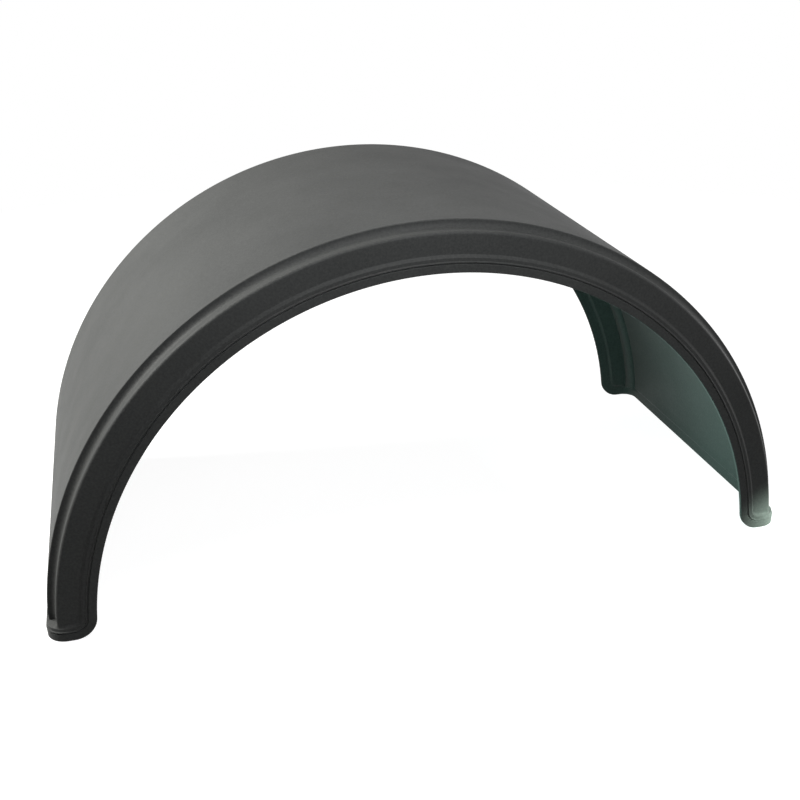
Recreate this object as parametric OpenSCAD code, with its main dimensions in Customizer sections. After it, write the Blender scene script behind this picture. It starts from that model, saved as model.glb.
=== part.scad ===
// Arched mudguard for one wheel position, formed from a single sheet of black plastic.
// It stands on its two ends: Z is up, X runs along the vehicle and Y across it.
// The origin is at floor level, under the middle of the arch.

/* [Arch] */
// Radius of the tread's outer face, measured from the wheel's axis
tread_r = 400; // [300:1:600]
// Width of the tread between its two creases
tread_w = 372; // [150:1:600]
// Height of the two ends above the wheel's axis
end_rise = 18; // [0:1:60]
// Thickness of the sheet
wall = 3; // [2:0.1:4]

/* [Shoulders] */
// Drop from the tread to the ledge beside it
step_drop = 8; // [5:0.5:9]
// Width of the ledge, from the crease to the side
ledge_w = 16; // [14:0.5:40]
// Rounding of the crease at the tread's edge
crease_r = 1.2; // [0.5:0.1:2]
// Hollow rounding at the foot of the step
cove_r = 6.5; // [1:0.5:8]
// Rounding from the ledge to the side
shoulder_r = 3; // [1:0.5:5]

/* [Sides] */
// Depth of each side, from the tread's outer face to the side's inner edge
side_depth = 46.5; // [44:0.5:90]
// Rounding of the four lower corners
corner_r = 24; // [18:1:28]

/* [Rim] */
// Height of the rim, from the edge up to the line where it flares out
rim_h = 17; // [15:0.5:17.5]
// How far the flare steps out
flare_out = 2.6; // [1.5:0.1:5]
// Height of the flare's sloping face
flare_h = 2.8; // [1.5:0.1:3.5]
// Height of the fine bead above the edge
bead_at = 9.6; // [8:0.1:10]
// How far the bead stands out from the rim
bead_out = 0.9; // [0.4:0.1:1.5]
// Height of the bead, and of the groove below it
bead_h = 1.6; // [1:0.1:2]
// Depth of the groove below the bead
groove_d = 0.6; // [0.2:0.1:1]
// How far the lip below the groove stands out from the rim
lip_out = 0.8; // [0.3:0.1:1.5]
// Rounding of the trimmed edge
edge_r = 1; // [0.3:0.1:1.2]
// Rounding of the rim in plan, where it turns from a side onto an end
turn_r = 17; // [12:0.5:18]

/* [Hidden] */

// Steps in a rounding of the section, and in one under fine_r
arc_steps = 5;
fine_steps = 2;
fine_r = 0.5;

// Facets in a full turn of the arch, of a lower corner and of a small rounding
arch_fn = 240;
corner_fn = 96;
small_fn = 48;

// Radius of the side's inner edge and of the ledge, and the place of the side
lip_r = tread_r - side_depth;
ledge_r = tread_r - step_drop;
side_y = tread_w / 2 + ledge_w;

// Roundings: the least one, the flare's, the bead's and those at the foot of the step
least_r = 0.2;
flare_r = 1.5;
bead_r = 0.3;
cove_fit_r = min(cove_r, step_drop - crease_r - least_r);
inner_cove_r = step_drop - 2 * least_r;

// How much the roundings of the upright ends differ from those of the arch above them
seam = 0.4;

// How far pieces of an end that meet inside it overlap
lap = 0.2;

// Height of the two upright ends, above which the arch is a plain turned form
end_h = corner_r;
end_z = end_rise + end_h;

// A length to the nearest thousandth of a millimetre, so that faces built apart still meet exactly
function exact(v) = round(v * 1000) / 1000;

// How far a round of the given radius lies from the middle of the arch at the top of the ends
function at_end(radius) = exact(sqrt(radius * radius - end_z * end_z));

tread_x = at_end(tread_r);
ledge_x = at_end(ledge_r);
corner_x = at_end(lip_r) + corner_r;

// Rounding of the rim in plan, as far as the lower corner leaves room for it
fit_turn_r = min(turn_r, tread_x - corner_x - 1);

// The web that slopes from the rim up to the ledge: how far it reaches in, and how far it rises
web_in = min(step_drop + 1, fit_turn_r - wall - lap);
web_rise = 4;

// A vector of length one in the direction of v
function unit(v) = v / norm(v);

// Positive where b lies to the left of a, and negative where it lies to the right
function turn(a, b) = a[0] * b[1] - a[1] * b[0];

// The arc that rounds corner p between points a and b
function corner_arc(a, p, b, r) =
    let (
        u = unit(a - p),
        v = unit(b - p),
        half = acos(u * v) / 2,
        centre = p + unit(u + v) * r / sin(half),
        first = p + u * r / tan(half) - centre,
        sweep = (180 - 2 * half) * sign(turn(p - a, b - p)),
        steps = r < fine_r ? fine_steps : arc_steps
    )
    [for (i = [0:steps])
        let (t = sweep * i / steps)
        [
            exact(centre[0] + first[0] * cos(t) - first[1] * sin(t)),
            exact(centre[1] + first[0] * sin(t) + first[1] * cos(t))
        ]];

// A point of such a line without its rounding
function flat(q) = [q[0], q[1]];

// A line of points [across, up, rounding] with its corners rounded
function rounded(line) =
    let (last = len(line) - 1)
    [for (i = [0:last])
        let (p = line[i])
        each (i == 0 || i == last || p[2] == 0
            ? [flat(p)]
            : corner_arc(flat(line[i - 1]), flat(p), flat(line[i + 1]), p[2]))];

// The rim's outer face, as [out, height above the edge, rounding], from the top of the ends to the edge
rim_face = [
    [0, end_h, 0],
    [0, rim_h, flare_r],
    [flare_out, rim_h - flare_h, bead_r],
    [flare_out, bead_at + bead_h, bead_r],
    [flare_out + bead_out, bead_at + bead_h / 2, bead_r],
    [flare_out + bead_out, bead_at, bead_r],
    [flare_out - groove_d, bead_at - bead_h / 2, bead_r],
    [flare_out + lip_out, bead_at - bead_h, bead_r],
    [flare_out + lip_out, 0, edge_r],
    [flare_out - wall / 2, 0, 0],
];

// The rim's inner face, which follows the flare and leaves out the bead
rim_back = [
    [0, end_h, 0],
    [0, rim_h - wall / 2, flare_r],
    [flare_out, rim_h - flare_h - wall / 2, flare_r],
    [flare_out, 0, 0],
];

// The rim's face and back as rounded lines, and the plain wall of an end
face_line = rounded(rim_face);
back_line = rounded(rim_back);
wall_line = [[0, end_h], [0, 0]];

// The part of a line below the given foot, with the web's slope inwards and up from there
function web(line, foot) = concat(
    [[-web_in, foot + web_rise], [flare_out, foot]],
    [for (q = line) if (q[1] < foot) q]
);

face_web = web(face_line, rim_h - flare_h - bead_r);
back_web = web(back_line, rim_h - flare_h - wall / 2 - flare_r);

// The outer and inner faces of one half of the section, as [across, radius]
outer_half = concat(
    [[0, tread_r]],
    rounded([
        [0, tread_r, 0],
        [tread_w / 2, tread_r, crease_r],
        [tread_w / 2, ledge_r, cove_fit_r],
        [side_y, ledge_r, shoulder_r],
        [side_y, lip_r + end_h, 0],
    ]),
    [for (q = face_line) [side_y + q[0], lip_r + q[1]]]
);
inner_half = concat(
    rounded([
        [0, tread_r - wall, 0],
        [tread_w / 2 - wall, tread_r - wall, least_r],
        [tread_w / 2 - wall, ledge_r - wall, inner_cove_r],
        [side_y - wall, ledge_r - wall, max(shoulder_r - wall, least_r)],
        [side_y - wall, lip_r + end_h, 0],
    ]),
    [for (q = back_line) [side_y - wall + q[0], lip_r + q[1]]]
);

function backwards(line) = [for (i = [len(line) - 1:-1:0]) line[i]];

// The closed outline of the whole section, as [radius, across]
function ring(half) = concat(
    [for (q = backwards(half)) [q[1], -q[0]]],
    [for (q = half) [q[1], q[0]]]
);

module section() {
    polygon(concat(ring(outer_half), backwards(ring(inner_half))));
}

// The turned part of the arch, above the two ends
module arch() {
    difference() {
        translate([0, 0, -end_rise])
            rotate([90, 0, 0])
                rotate_extrude(angle = 180, $fn = arch_fn) section();
        translate([-tread_r, -2 * side_y, -tread_r])
            cube([2 * tread_r, 4 * side_y, tread_r + end_h]);
    }
}

// The upright section of a block that reaches from start out to the given line, moved out by d
function block(line, d, start) = concat([[start, end_h]], [for (q = line) [d + q[0], q[1]]], [[start, 0]]);

// A straight stretch of an end's face at x, from y0 to y1, and of a face at y, from x0 to x1
module across(line, x, y0, y1) {
    translate([0, y1, 0])
        rotate([90, 0, 0])
            linear_extrude(y1 - y0) polygon(block(line, x, corner_x));
}
module along(line, y, x0, x1) {
    translate([x0, 0, 0])
        rotate([90, 0, 90])
            linear_extrude(x1 - x0) polygon(block(line, y, 0));
}

// The upright edge at x and y, rounded
module round_edge(line, x, y, r) {
    translate([x - r, y - r, 0])
        rotate_extrude(angle = 90, $fn = small_fn) polygon(block(line, r, 0));
}

// The upright inner corner at x and y, with a hollow rounding that is filled behind as far as reach
module hollow_edge(x, y, r, reach) {
    translate([x + r, y + r, 0])
        rotate([0, 0, 180])
            rotate_extrude(angle = 90, $fn = small_fn)
                translate([r, 0]) square([reach, end_h]);
}

// One half of an end, filled from corner_x out to the wall's stepped face and the rim
module end_half(line, web_line, inset, edge, cove, shoulder) {
    front_x = tread_x - inset;
    back_x = ledge_x - inset;
    step_y = tread_w / 2 - inset;
    last_y = side_y - inset;
    plan_r = fit_turn_r - inset;
    reach = exact(norm([cove + shoulder, cove + edge]) - cove + lap);

    // The stepped wall
    round_edge(wall_line, front_x, step_y, edge);
    along(wall_line, step_y, back_x + cove, front_x - edge);
    hollow_edge(back_x, step_y, cove, reach);
    across(wall_line, back_x, step_y + cove, last_y - shoulder);
    round_edge(wall_line, back_x, last_y, shoulder);
    along(wall_line, last_y, corner_x, back_x - shoulder);

    // The rim, and the web where it turns its corner
    across(line, front_x, 0, min(step_y - edge, last_y - plan_r));
    if (last_y - plan_r > step_y - edge)
        across(web_line, front_x, step_y - edge, last_y - plan_r);
    round_edge(web_line, front_x, last_y, plan_r);
    along(line, last_y, corner_x, front_x - plan_r);
}

// One half of an end of the arch, with the rim carried round it
module end_band() {
    face_edge = max(crease_r - seam, least_r);
    face_shoulder = max(shoulder_r - seam, least_r);
    back_shoulder = max(shoulder_r - wall, least_r);
    difference() {
        end_half(face_line, face_web, 0, face_edge, cove_fit_r + seam, face_shoulder);
        end_half(back_line, back_web, wall, least_r, inner_cove_r - seam, back_shoulder);
    }
}

// One lower corner of a side, turned about its own centre
module side_corner() {
    face = [for (q = face_line) [corner_r - q[1], side_y + q[0]]];
    back = [for (q = back_line) [corner_r - q[1], side_y - wall + q[0]]];
    translate([corner_x, 0, corner_r])
        rotate([90, 0, 0])
            rotate([0, 0, 180])
                rotate_extrude(angle = 90, $fn = corner_fn)
                    polygon(concat(face, backwards(back)));
}

module mudguard() {
    color("#2b2c2c") {
        arch();
        for (s = [0, 1])
            mirror([s, 0, 0]) {
                for (t = [0, 1])
                    mirror([0, t, 0]) {
                        end_band();
                        side_corner();
                    }
            }
    }
}

mudguard();
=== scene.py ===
"""A black moulded mudguard on a white studio floor, seen from its front left and a little above."""
import math

import bmesh
import bpy
from mathutils import Matrix, Vector


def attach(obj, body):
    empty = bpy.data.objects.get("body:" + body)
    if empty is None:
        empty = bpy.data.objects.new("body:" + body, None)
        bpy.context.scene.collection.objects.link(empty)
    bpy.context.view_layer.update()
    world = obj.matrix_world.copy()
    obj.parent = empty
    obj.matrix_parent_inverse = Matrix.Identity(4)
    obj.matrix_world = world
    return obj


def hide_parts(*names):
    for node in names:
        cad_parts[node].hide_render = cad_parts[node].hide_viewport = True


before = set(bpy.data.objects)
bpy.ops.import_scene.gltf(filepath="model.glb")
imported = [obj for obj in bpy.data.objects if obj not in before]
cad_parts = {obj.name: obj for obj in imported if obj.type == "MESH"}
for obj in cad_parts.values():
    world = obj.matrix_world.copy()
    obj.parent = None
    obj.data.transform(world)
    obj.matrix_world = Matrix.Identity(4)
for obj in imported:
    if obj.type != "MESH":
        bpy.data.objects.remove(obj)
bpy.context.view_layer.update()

MM = 0.001

# The arch, in millimetres
TREAD_R = 400
HALF_TREAD = 186
END_RISE = 18
WALL = 3
ARCH_ROWS = 200

# The stepped shoulders
STEP_DROP = 8
LEDGE_W = 16
CREASE_R = 1.2
COVE_R = 6.5
SHOULDER_R = 3
LEAST_R = 0.2

# The sides and their lower corners
SIDE_DEPTH = 46.5
CORNER_R = 24

# The rim
RIM_H = 17
FLARE_OUT = 2.6
FLARE_H = 2.8
FLARE_R = 1.5
BEAD_AT = 9.6
BEAD_OUT = 0.9
BEAD_H = 1.6
BEAD_R = 0.3
GROOVE_D = 0.6
LIP_OUT = 0.8
EDGE_R = 1
TURN_R = 17
WEB_IN = STEP_DROP + 1
WEB_RISE = 4

LEDGE_R = TREAD_R - STEP_DROP
LIP_R = TREAD_R - SIDE_DEPTH
SIDE_Y = HALF_TREAD + LEDGE_W
END_Z = END_RISE + CORNER_R
TURN_X = math.sqrt(TREAD_R ** 2 - END_Z ** 2) - TURN_R

# Columns of the shell's mesh: how far before the rim's turn one stands, and how far from the crease the next
TURN_LEAD = 0.5
CREASE_LEAD = 1

# Points closer than this are merged, in metres, and edges over this angle stay sharp
MERGE_GAP = 1e-6
SHARP_ANGLE = math.radians(40)

# The floor, in metres, which lies just under the ends
FLOOR_R = 1.7
FLOOR_Z = -0.0005

# The plastic's darkest and lightest tone
DARK_TONE = (0.034, 0.035, 0.0345)
LIGHT_TONE = (0.058, 0.059, 0.0575)

# The camera, in metres, radians and pixels
EYE = Vector((-0.2678, -1.1959, 0.6523))
YAW = 0.2919
PITCH = 0.4703
ROLL = 0.0045
SENSOR = 36
FOCAL_PX = 1135.2
CENTRE_PX = (470, 470)
PICTURE_PX = 800


def corner_arc(a, p, b, radius, steps):
    """The points that round corner p between a and b."""
    a, p, b = Vector(a), Vector(p), Vector(b)
    u = (a - p).normalized()
    v = (b - p).normalized()
    half = math.acos(u.dot(v)) / 2
    centre = p + (u + v).normalized() * radius / math.sin(half)
    first = p + u * radius / math.tan(half) - centre
    turn = u.y * v.x - u.x * v.y
    sweep = math.copysign(math.pi - 2 * half, turn)
    return [centre + Matrix.Rotation(sweep * i / steps, 2) @ first for i in range(steps + 1)]


def rounded(line):
    """A line of (across, up, radius, steps) as points, with its corners rounded."""
    points = [Vector(line[0][:2])]
    for before, here, after in zip(line, line[1:], line[2:]):
        points += corner_arc(before[:2], here[:2], after[:2], here[2], here[3])
    return points + [Vector(line[-1][:2])]


def between(a, b, count):
    """Points spaced evenly from a to b, without either."""
    return [Vector(a).lerp(Vector(b), i / (count + 1)) for i in range(1, count + 1)]


def rim_levels():
    """The rim's outer and inner faces, as points (out, height above the edge), from the edge up."""
    lip = FLARE_OUT + LIP_OUT
    bead = FLARE_OUT + BEAD_OUT
    face = rounded([
        (FLARE_OUT - WALL / 2, 0),
        (lip, 0, EDGE_R, 4),
        (lip, BEAD_AT - BEAD_H, BEAD_R, 3),
        (FLARE_OUT - GROOVE_D, BEAD_AT - BEAD_H / 2, BEAD_R, 3),
        (bead, BEAD_AT, BEAD_R, 3),
        (bead, BEAD_AT + BEAD_H / 2, BEAD_R, 3),
        (FLARE_OUT, BEAD_AT + BEAD_H, BEAD_R, 3),
        (FLARE_OUT, RIM_H - FLARE_H, BEAD_R, 3),
        (0, RIM_H, FLARE_R, 4),
        (0, CORNER_R),
    ])
    back = rounded([
        (FLARE_OUT, 0),
        (FLARE_OUT, RIM_H - FLARE_H - WALL / 2, FLARE_R, 5),
        (0, RIM_H - WALL / 2, FLARE_R, 5),
        (0, CORNER_R),
    ])
    low = between(back[0], back[1], len(face) - len(back))
    return face, back[:1] + low + back[1:]


def half_section(side, ledge, step, tread, shoulder_r, cove_r, crease_r):
    """One face of the section above the rim, from the side to the middle of the tread.

    Each point is (place, normal), with place as (across, radius). The second result is the span of points,
    from the shoulder to the crease, beside which the rim turns its corner at the ends.
    """
    across = Vector((1, 0))
    up = Vector((0, 1))

    def plain(a, b, count, normal):
        return [(p, normal) for p in between(a, b, count)]

    def turned(start, end, steps):
        turns = [start + (end - start) * i / steps for i in range(steps + 1)]
        return [Vector((math.cos(t), math.sin(t))) for t in turns]

    def round_over(corner, radius, steps):
        centre = Vector(corner) - Vector((radius, radius))
        return [(centre + radius * n, n) for n in turned(0, math.pi / 2, steps)]

    def round_under(corner, radius, steps):
        centre = Vector(corner) + Vector((radius, radius))
        return [(centre - radius * n, n) for n in turned(math.pi / 2, 0, steps)]

    foot = Vector((side, LIP_R + CORNER_R))
    start = Vector((side, math.hypot(TURN_X - TURN_LEAD, END_Z)))
    inner = Vector((step - crease_r - CREASE_LEAD, tread))
    skirt = [(foot, across), (start, across)]
    stepped = (
        plain(start, (side, ledge - shoulder_r), 1, across)
        + round_over((side, ledge), shoulder_r, 8)
        + plain((side - shoulder_r, ledge), (step + cove_r, ledge), 4, up)
        + round_under((step, ledge), cove_r, 7)
        + round_over((step, tread), crease_r, 6)
    )
    flat = [(inner, up)] + plain(inner, (0, tread), 10, up) + [(Vector((0, tread)), up)]
    return skirt + stepped + flat, (len(skirt), len(skirt) + len(stepped) - 1)


def shell_rows(levels, half, span, web_foot, inset):
    """The points of one face of the shell, as rows along the arch that run from the near rim to the far one.

    The lowest CORNER_R of each side and end is a border that carries the rim. The borders meet in four
    corners, each turned about its own centre. Beside the points of span the rim turns its corner in plan,
    and from the height web_foot a web slopes inwards and up from it to the ledge.
    """
    border = len(levels) - 1
    last_row = 2 * border + ARCH_ROWS
    last_column = 2 * (border + len(half) - 1)
    lean = math.asin(END_Z / (LIP_R + CORNER_R))
    corner_x = (LIP_R + CORNER_R) * math.cos(lean)
    turn_r = TURN_R - inset
    turn_at = Vector((TURN_X, SIDE_Y - TURN_R))

    def arch_point(i, j):
        if j < border:
            across, radius = SIDE_Y - inset + levels[j].x, LIP_R + levels[j].y
            start = lean
        else:
            across, radius = half[j - border][0]
            start = math.asin(END_Z / radius)
        t = start + (math.pi - 2 * start) * i / ARCH_ROWS
        return radius * math.cos(t), across, radius * math.sin(t) - END_RISE

    def end_point(i, j):
        out, height = levels[i]
        place, normal = half[j - border]
        wall = Vector((math.sqrt(place.y ** 2 - END_Z ** 2), place.x))
        first, last = span
        if not first <= j - border <= last:
            return wall.x + out * normal.y, wall.y + out * normal.x, height
        t = math.pi / 2 * (j - border - first) / (last - first)
        to_rim = Vector((math.sin(t), math.cos(t)))
        if height <= web_foot:
            rim = turn_at + (turn_r + out) * to_rim
            return rim.x, rim.y, height
        rim = turn_at + (turn_r + FLARE_OUT) * to_rim
        aside = wall - turn_at
        room = turn_r + FLARE_OUT - (aside.length if min(aside) > 0 else max(aside))
        sloped = (height - web_foot) / WEB_RISE * (FLARE_OUT + WEB_IN)
        met = rim.lerp(wall, min(sloped / room, 1))
        return met.x, met.y, height

    def corner_point(i, j):
        k = min(i, j)
        out, height = levels[k]
        along = border - i if j == k else border + j - 2 * k
        t = math.pi + lean + (math.pi / 2 - lean) * along / (2 * (border - k))
        radius = CORNER_R - height
        return corner_x + radius * math.cos(t), SIDE_Y - inset + out, CORNER_R + radius * math.sin(t)

    def shell_point(i, j):
        near = min(j, last_column - j)
        level = min(i, last_row - i)
        if level >= border:
            x, y, z = arch_point(i - border, near)
        else:
            x, y, z = corner_point(level, near) if near < border else end_point(level, near)
            x = x if i == level else -x
        return Vector((x, -y if j == near else y, z)) * MM

    return [[shell_point(i, j) for j in range(last_column + 1)] for i in range(last_row + 1)]


def perimeter(rows):
    """The points round the edge of a grid, in order."""
    top = rows[0]
    right = [row[-1] for row in rows[1:]]
    bottom = rows[-1][-2::-1]
    left = [row[0] for row in rows[-2:0:-1]]
    return top + right + bottom + left


def make_shell():
    """The moulded sheet: its outer face, its inner face and the trimmed edge between them."""
    face_levels, back_levels = rim_levels()
    cove_r = min(COVE_R, STEP_DROP - CREASE_R - LEAST_R)
    face_half, face_span = half_section(
        SIDE_Y, LEDGE_R, HALF_TREAD, TREAD_R, SHOULDER_R, cove_r, CREASE_R)
    back_half, back_span = half_section(
        SIDE_Y - WALL, LEDGE_R - WALL, HALF_TREAD - WALL, TREAD_R - WALL,
        LEAST_R, STEP_DROP - 2 * LEAST_R, LEAST_R)
    face_foot = RIM_H - FLARE_H - BEAD_R
    back_foot = RIM_H - FLARE_H - WALL / 2 - FLARE_R
    bm = bmesh.new()
    edges = []
    for levels, half, span, foot, inset in (
        (face_levels, face_half, face_span, face_foot, 0),
        (back_levels, back_half, back_span, back_foot, WALL),
    ):
        rows = [[bm.verts.new(p) for p in row] for row in shell_rows(levels, half, span, foot, inset)]
        for one, two in zip(rows, rows[1:]):
            for a, b, c, d in zip(one, one[1:], two[1:], two):
                bm.faces.new((a, b, c, d))
        edges.append(perimeter(rows))
    outer, inner = edges
    for k in range(len(outer)):
        bm.faces.new((outer[k - 1], outer[k], inner[k], inner[k - 1]))
    bmesh.ops.remove_doubles(bm, verts=bm.verts, dist=MERGE_GAP)
    bmesh.ops.recalc_face_normals(bm, faces=bm.faces)
    for face in bm.faces:
        face.smooth = True
    for edge in bm.edges:
        edge.smooth = edge.calc_face_angle(0) < SHARP_ANGLE
    mesh = bpy.data.meshes.new("mudguard_shell")
    bm.to_mesh(mesh)
    bm.free()
    shell = bpy.data.objects.new("mudguard_shell", mesh)
    bpy.context.scene.collection.objects.link(shell)
    flat_first = shell.modifiers.new("even_normals", "WEIGHTED_NORMAL")
    flat_first.keep_sharp = True
    flat_first.weight = 100
    return shell


def new_material(name):
    material = bpy.data.materials.new(name)
    material.use_nodes = True
    nodes = material.node_tree.nodes
    nodes.clear()
    return material, nodes, material.node_tree.links


def plastic():
    """Black moulded plastic with a fine matte grain, and with slight changes in tone and roughness."""
    material, nodes, links = new_material("black_moulded_plastic")
    out = nodes.new("ShaderNodeOutputMaterial")
    skin = nodes.new("ShaderNodeBsdfPrincipled")
    links.new(skin.outputs["BSDF"], out.inputs["Surface"])
    skin.inputs["IOR"].default_value = 1.5
    skin.inputs["Specular IOR Level"].default_value = 0.1
    where = nodes.new("ShaderNodeTexCoord").outputs["Object"]

    def noise(scale, detail, rough=0.5):
        n = nodes.new("ShaderNodeTexNoise")
        n.inputs["Scale"].default_value = scale
        n.inputs["Detail"].default_value = detail
        n.inputs["Roughness"].default_value = rough
        links.new(where, n.inputs["Vector"])
        return n.outputs["Fac"]

    def weighed(one, one_part, two, two_part):
        """The sum of two values, each times its part."""
        scaled = nodes.new("ShaderNodeMath")
        scaled.operation = "MULTIPLY"
        links.new(two, scaled.inputs[0])
        scaled.inputs[1].default_value = two_part
        total = nodes.new("ShaderNodeMath")
        total.operation = "MULTIPLY_ADD"
        links.new(one, total.inputs[0])
        total.inputs[1].default_value = one_part
        links.new(scaled.outputs["Value"], total.inputs[2])
        return total.outputs["Value"]

    def ramp(value, dark, light):
        """A colour between dark and light, for a value between 0.3 and 0.7."""
        r = nodes.new("ShaderNodeValToRGB")
        for element, position, colour in zip(r.color_ramp.elements, (0.3, 0.7), (dark, light)):
            element.position = position
            element.color = (*colour, 1)
        links.new(value, r.inputs["Fac"])
        return r.outputs["Color"]

    tone = weighed(noise(420, 3, 0.65), 0.7, noise(9, 4), 0.3)
    links.new(ramp(tone, DARK_TONE, LIGHT_TONE), skin.inputs["Base Color"])
    links.new(ramp(noise(14, 5, 0.6), (0.56,) * 3, (0.64,) * 3), skin.inputs["Roughness"])
    grain = nodes.new("ShaderNodeBump")
    grain.inputs["Strength"].default_value = 0.5
    grain.inputs["Distance"].default_value = 0.0002
    links.new(noise(700, 4, 0.65), grain.inputs["Height"])
    links.new(grain.outputs["Normal"], skin.inputs["Normal"])
    return material


def seen(nodes, links):
    """One for the rays that see the background, which are the camera's and those of gloss and glass."""
    path = nodes.new("ShaderNodeLightPath")
    total = path.outputs["Is Camera Ray"]
    for kind in ("Is Glossy Ray", "Is Transmission Ray"):
        either = nodes.new("ShaderNodeMath")
        either.operation = "MAXIMUM"
        links.new(total, either.inputs[0])
        links.new(path.outputs[kind], either.inputs[1])
        total = either.outputs["Value"]
    return total


def floor_cloth():
    """A dark cloth that shows as white, with the object's soft shadow kept on it."""
    material, nodes, links = new_material("studio_floor")
    out = nodes.new("ShaderNodeOutputMaterial")
    plain = nodes.new("ShaderNodeBsdfDiffuse")
    plain.inputs["Color"].default_value = (0.08, 0.08, 0.08, 1)
    shaded = nodes.new("ShaderNodeBsdfDiffuse")
    shaded.inputs["Color"].default_value = (0.3, 0.3, 0.3, 1)
    bright = nodes.new("ShaderNodeEmission")
    bright.inputs["Color"].default_value = (1, 1, 1, 1)
    bright.inputs["Strength"].default_value = 0.95
    both = nodes.new("ShaderNodeAddShader")
    links.new(shaded.outputs["BSDF"], both.inputs[0])
    links.new(bright.outputs["Emission"], both.inputs[1])
    mix = nodes.new("ShaderNodeMixShader")
    links.new(seen(nodes, links), mix.inputs["Fac"])
    links.new(plain.outputs["BSDF"], mix.inputs[1])
    links.new(both.outputs["Shader"], mix.inputs[2])
    links.new(mix.outputs["Shader"], out.inputs["Surface"])
    return material


def make_floor():
    bpy.ops.mesh.primitive_circle_add(
        vertices=96, radius=FLOOR_R, fill_type="NGON", location=(0, 0, FLOOR_Z))
    floor = bpy.context.object
    floor.name = "studio_floor"
    floor.data.materials.append(floor_cloth())


def make_world(level):
    """An even dim room that shows as white."""
    world = bpy.data.worlds.new("studio")
    bpy.context.scene.world = world
    world.use_nodes = True
    nodes, links = world.node_tree.nodes, world.node_tree.links
    nodes.clear()
    out = nodes.new("ShaderNodeOutputWorld")
    room = nodes.new("ShaderNodeBackground")
    room.inputs["Color"].default_value = (1, 1, 1, 1)
    room.inputs["Strength"].default_value = level
    white = nodes.new("ShaderNodeBackground")
    white.inputs["Strength"].default_value = 1
    white.inputs["Color"].default_value = (1, 1, 1, 1)
    mix = nodes.new("ShaderNodeMixShader")
    links.new(seen(nodes, links), mix.inputs["Fac"])
    links.new(room.outputs["Background"], mix.inputs[1])
    links.new(white.outputs["Background"], mix.inputs[2])
    links.new(mix.outputs["Shader"], out.inputs["Surface"])


def new_lamp(kind, name, place, target, watts, colour):
    """A lamp at place that shines towards target. The result is its data, for what its kind still needs."""
    data = bpy.data.lights.new(name, kind)
    data.energy = watts
    data.color = colour
    lamp = bpy.data.objects.new(name, data)
    lamp.location = place
    lamp.rotation_euler = (Vector(target) - Vector(place)).to_track_quat("-Z", "Y").to_euler()
    bpy.context.scene.collection.objects.link(lamp)
    return data


def softbox(name, place, target, size, watts, colour=(1, 1, 1)):
    data = new_lamp("AREA", name, place, target, watts, colour)
    data.shape = "RECTANGLE"
    data.size, data.size_y = size


def spot(name, place, target, degrees, watts, colour):
    data = new_lamp("SPOT", name, place, target, watts, colour)
    data.spot_size = math.radians(degrees)
    data.spot_blend = 1
    data.shadow_soft_size = 0.02


def make_camera():
    forward = Vector((math.sin(YAW) * math.cos(PITCH), math.cos(YAW) * math.cos(PITCH), -math.sin(PITCH)))
    level = Vector((math.cos(YAW), -math.sin(YAW), 0))
    down = forward.cross(level)
    right = math.cos(ROLL) * level + math.sin(ROLL) * down
    up = math.sin(ROLL) * level - math.cos(ROLL) * down
    data = bpy.data.cameras.new("camera")
    data.sensor_width = SENSOR
    data.lens = FOCAL_PX / PICTURE_PX * SENSOR
    data.shift_x = 0.5 - CENTRE_PX[0] / PICTURE_PX
    data.shift_y = CENTRE_PX[1] / PICTURE_PX - 0.5
    camera = bpy.data.objects.new("camera", data)
    camera.matrix_world = Matrix((
        (right.x, up.x, -forward.x, EYE.x),
        (right.y, up.y, -forward.y, EYE.y),
        (right.z, up.z, -forward.z, EYE.z),
        (0, 0, 0, 1),
    ))
    bpy.context.scene.collection.objects.link(camera)
    bpy.context.scene.camera = camera


make_camera()
shell = make_shell()
shell.data.materials.append(plastic())
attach(shell, "root")
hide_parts("mudguard")

# The key lights the tread from the left, and top and front light the near side. The lamp under the arch and
# the spot at the right foot give the green light there. The lamp at the right only shows from that side.
make_floor()
make_world(0.03)
softbox("key", (-1.0, 0.15, 0.85), (-0.2, 0.05, 0.25), (0.5, 0.2), 25, (1, 1, 0.965))
softbox("top", (0.04, -0.52, 1.12), (0.02, -0.2, 0.36), (0.3, 0.2), 4.4)
softbox("front", (-0.02, -0.66, 0.66), (0, -0.2, 0.34), (0.26, 0.16), 1.7, (0.94, 0.97, 1))
softbox("right", (1.3, -0.08, 0.14), (0.38, 0, 0.16), (0.3, 0.2), 7)
softbox("under", (0.15, -0.14, 0.06), (0.38, -0.09, 0.1), (0.1, 0.1), 0.85, (0.5, 1, 0.86))
spot("foot", (0.9, -0.9, 0.35), (0.397, -0.2, 0.006), 5, 270, (0.78, 1, 0.86))

bpy.context.scene.view_settings.view_transform = "Standard"
